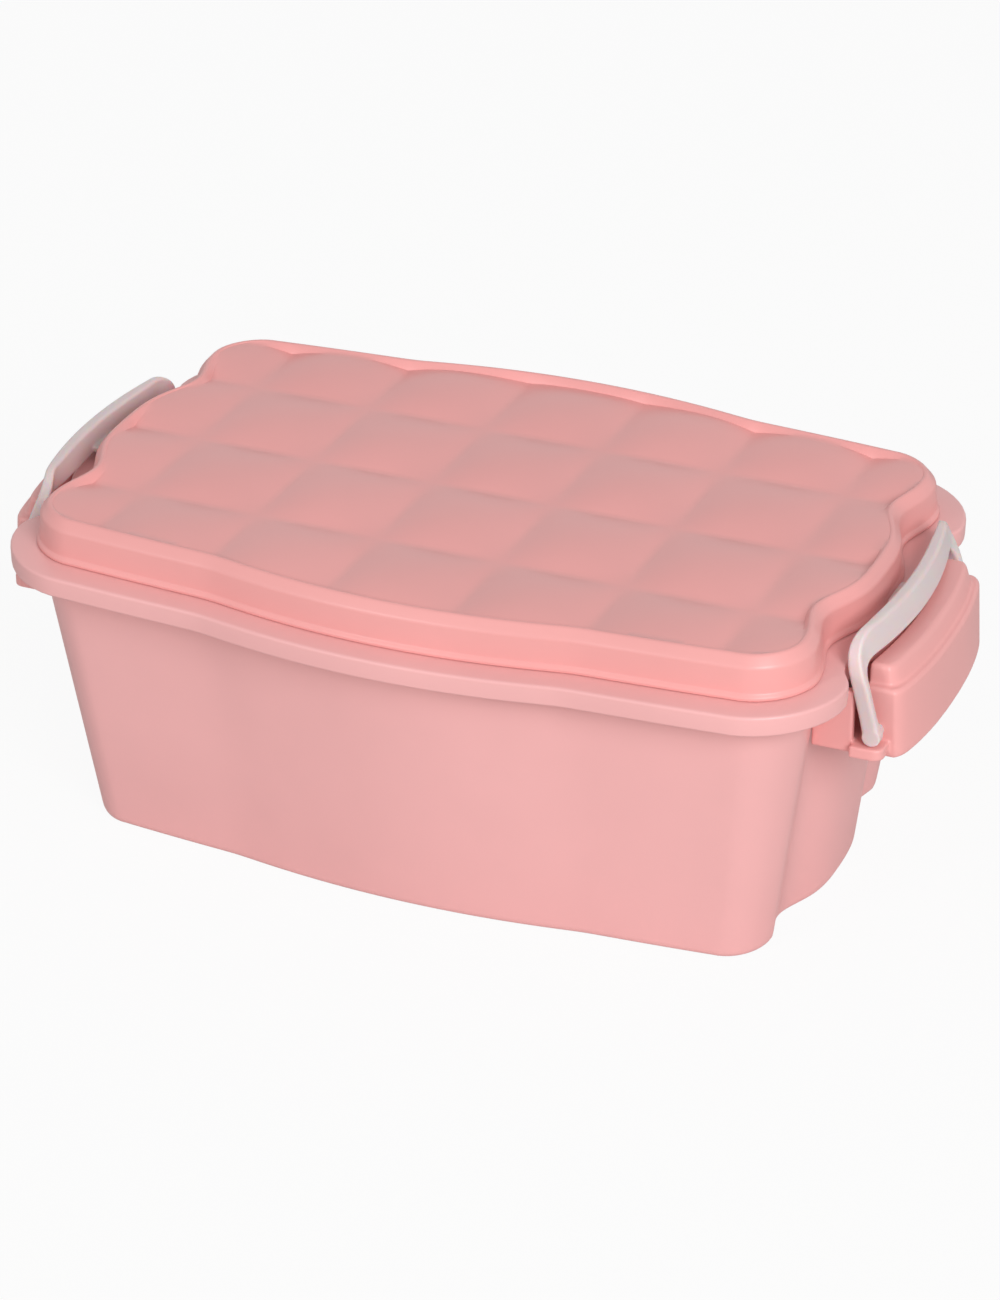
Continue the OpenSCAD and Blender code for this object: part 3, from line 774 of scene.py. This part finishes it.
def grip_skin():
    """The right grip: block, ledge, cheeks and the root that holds the block on the rail."""
    cheek = box_solid((CHEEK_X0, CHEEK_Y - CHEEK_T, LEDGE_BOT), (LEDGE_X0, CHEEK_Y, GRIP_TOP))
    low = (ROOT_X0, -ROOT_HALF, GRIP_BOT + 1)
    high = (BLOCK_X0 + 0.5, ROOT_HALF, GRIP_TOP - 0.2)
    parts = [block_solid(), ledge_solid(), box_solid(low, high), cheek, mirrored(cheek)]
    return fused(parts, voxel=0.3, passes=6)


# ---- CAD nodes that stay ----


def dress(node, material):
    """Gives a CAD node its material."""
    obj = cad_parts[node]
    obj.data.materials.clear()
    obj.data.materials.append(material)


# ---- Scene ----

FLOOR_PALE = (0.66, 0.655, 0.65)
FLOOR_SIZE = 6
FLOOR_WHITE = 0.93  # share of plain white that the camera sees; the rest keeps the shadow
WORLD_LEVEL = 0.40
WHITE = (1, 1, 1, 1)
LIGHT_TARGET = (0, 0, 0.05)


def build_floor():
    """Pale floor, nearly white to the camera."""
    bpy.ops.mesh.primitive_plane_add(size=FLOOR_SIZE, location=(0, 0, 0))
    floor = bpy.context.object
    floor.name = "floor"
    mat = bpy.data.materials.new("floor_pale")
    mat.use_nodes = True
    nodes, links = mat.node_tree.nodes, mat.node_tree.links
    nodes["Principled BSDF"].inputs["Base Color"].default_value = (*FLOOR_PALE, 1)
    nodes["Principled BSDF"].inputs["Roughness"].default_value = 0.9
    white = nodes.new("ShaderNodeEmission")
    path = nodes.new("ShaderNodeLightPath")
    mix = nodes.new("ShaderNodeMixShader")
    share = nodes.new("ShaderNodeMath")
    share.operation = "MULTIPLY"
    share.inputs[1].default_value = FLOOR_WHITE
    links.new(path.outputs["Is Camera Ray"], share.inputs[0])
    links.new(share.outputs[0], mix.inputs["Fac"])
    links.new(nodes["Principled BSDF"].outputs[0], mix.inputs[1])
    links.new(white.outputs[0], mix.inputs[2])
    links.new(mix.outputs[0], nodes["Material Output"].inputs["Surface"])
    floor.data.materials.append(mat)


def build_world():
    """Soft even light; the camera, reflections and clear materials see plain white."""
    world = bpy.data.worlds.new("studio")
    bpy.context.scene.world = world
    world.use_nodes = True
    nodes, links = world.node_tree.nodes, world.node_tree.links
    light = nodes["Background"]
    light.inputs["Strength"].default_value = WORLD_LEVEL
    light.inputs["Color"].default_value = WHITE
    seen = nodes.new("ShaderNodeBackground")
    seen.inputs["Strength"].default_value = 1.0
    seen.inputs["Color"].default_value = WHITE
    path = nodes.new("ShaderNodeLightPath")
    either = nodes.new("ShaderNodeMath")
    either.operation = "MAXIMUM"
    links.new(path.outputs["Is Camera Ray"], either.inputs[0])
    links.new(path.outputs["Is Transmission Ray"], either.inputs[1])
    any_of = nodes.new("ShaderNodeMath")
    any_of.operation = "MAXIMUM"
    links.new(either.outputs[0], any_of.inputs[0])
    links.new(path.outputs["Is Glossy Ray"], any_of.inputs[1])
    mix = nodes.new("ShaderNodeMixShader")
    links.new(any_of.outputs[0], mix.inputs["Fac"])
    links.new(light.outputs[0], mix.inputs[1])
    links.new(seen.outputs[0], mix.inputs[2])
    links.new(mix.outputs[0], nodes["World Output"].inputs["Surface"])


def area_light(name, place, size, power):
    """Round lamp aimed at the object."""
    data = bpy.data.lights.new(name, "AREA")
    data.shape = "DISK"
    data.size = size
    data.energy = power
    lamp = bpy.data.objects.new(name, data)
    bpy.context.scene.collection.objects.link(lamp)
    lamp.location = place
    lamp.rotation_mode = "QUATERNION"
    lamp.rotation_quaternion = (Vector(LIGHT_TARGET) - Vector(place)).to_track_quat("-Z", "Y")


# Camera: angles in radians, distance in metres, shifts as shares of the distance. The lens comes
# from a focal length of 4200 pixels of the photograph, whose longer side has 1300
CAM_AZ = 0.399
CAM_EL = 0.501
CAM_DIST = 1.00467
CAM_SIDE = 0.00205
CAM_RISE = 0.033796
CAM_SENSOR = 36
CAM_LENS = 4200 * CAM_SENSOR / 1300


def build_camera():
    """Camera at the photograph's angle."""
    ca, sa = math.cos(CAM_AZ), math.sin(CAM_AZ)
    ce, se = math.cos(CAM_EL), math.sin(CAM_EL)
    right = Vector((ca, sa, 0))
    rise = Vector((-se * sa, se * ca, ce))
    back = Vector((sa * ce, -ca * ce, se))
    data = bpy.data.cameras.new("camera")
    data.lens = CAM_LENS
    data.sensor_width = CAM_SENSOR
    camera = bpy.data.objects.new("camera", data)
    bpy.context.scene.collection.objects.link(camera)
    place = CAM_DIST * (back + CAM_SIDE * right + CAM_RISE * rise)
    turn = Matrix((right, rise, back)).transposed().to_4x4()
    camera.matrix_world = Matrix.Translation(place) @ turn
    bpy.context.scene.camera = camera


build_tub()
build_lid()
build_seal()
place_pair(
    "strap_",
    bail_skin(),
    (("bail_right", "right_bail_body"), ("bail_left", "left_bail_body")),
    BAIL_WHITE,
)
place_pair(
    "block_",
    grip_skin(),
    (("grip_right", "tub_body"), ("grip_left", "tub_body")),
    GRIP_PINK,
)
dress("food_tray", TRAY_CREAM)
dress("tray_divider", DIVIDER_PINK)
dress("base_divider", DIVIDER_PINK)
build_floor()
build_world()
area_light("key", place=(1.24, -1.2, 1.06), size=1.0, power=25)
area_light("edge", place=(-0.68, -1.65, 0.93), size=0.3, power=6)
build_camera()
bpy.context.scene.view_settings.view_transform = "Standard"
